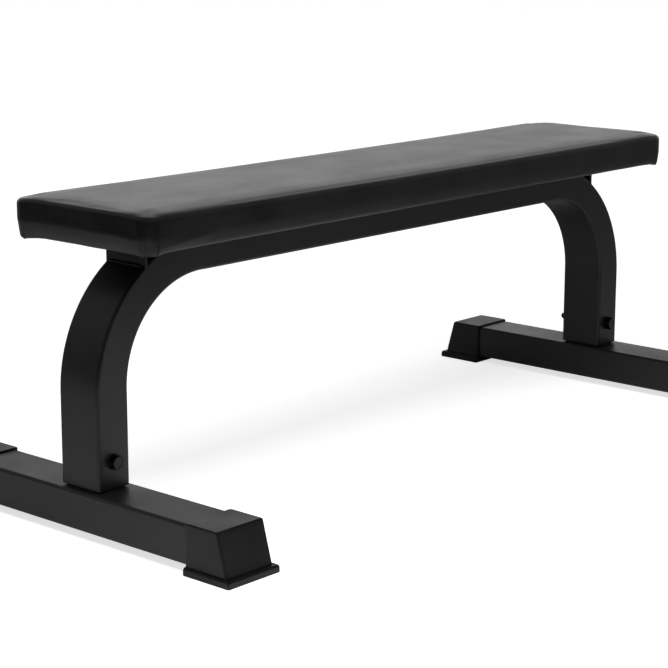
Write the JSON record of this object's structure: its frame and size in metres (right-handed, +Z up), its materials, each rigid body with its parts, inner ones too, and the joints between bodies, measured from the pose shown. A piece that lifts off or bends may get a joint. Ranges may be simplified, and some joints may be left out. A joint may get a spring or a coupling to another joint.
{
  "type": "flat weight bench",
  "caption": "Low flat exercise bench: a long padded top on one bent box-tube frame whose legs stand on cross feet with flared end caps.",
  "frame": {"origin": "on the floor, midway between the two feet and midway across", "axes": "+X along the bench from the front foot to the rear foot, +Y across it to the left, +Z up"},
  "size_m": [1.146, 0.542, 0.411],
  "materials": {
    "powder_coat": "satin",
    "cap_plastic": "matte",
    "vinyl": "satin",
    "black_zinc": "satin",
    "bright_zinc": "satin",
    "foam": "matte",
    "plywood": "matte",
    "dust_cloth": "matte"
  },
  "bodies": {
    "root": {"main_frame": "powder_coat", "stabilizer_front": "powder_coat", "leg_stub_front": "powder_coat", "pad_bracket_front": "powder_coat", "stabilizer_rear": "powder_coat", "leg_stub_rear": "powder_coat", "pad_bracket_rear": "powder_coat", "foot_cap_front_left": "cap_plastic", "foot_cap_front_right": "cap_plastic", "foot_cap_rear_left": "cap_plastic", "foot_cap_rear_right": "cap_plastic", "leg_bolt_front": "black_zinc", "leg_nut_front": "black_zinc", "leg_washer_front_head": "black_zinc", "leg_washer_front_nut": "black_zinc", "leg_bolt_rear": "black_zinc", "leg_nut_rear": "black_zinc", "leg_washer_rear_head": "black_zinc", "leg_washer_rear_nut": "black_zinc", "pad_bolt_front_left": "bright_zinc", "pad_washer_front_left": "bright_zinc", "t_nut_front_left": "bright_zinc", "pad_bolt_front_right": "bright_zinc", "pad_washer_front_right": "bright_zinc", "t_nut_front_right": "bright_zinc", "pad_bolt_rear_left": "bright_zinc", "pad_washer_rear_left": "bright_zinc", "t_nut_rear_left": "bright_zinc", "pad_bolt_rear_right": "bright_zinc", "pad_washer_rear_right": "bright_zinc", "t_nut_rear_right": "bright_zinc", "pad_cover": "vinyl", "foam_core": "foam", "pad_board": "plywood", "dust_cover": "dust_cloth"}
  },
  "joints": []
}
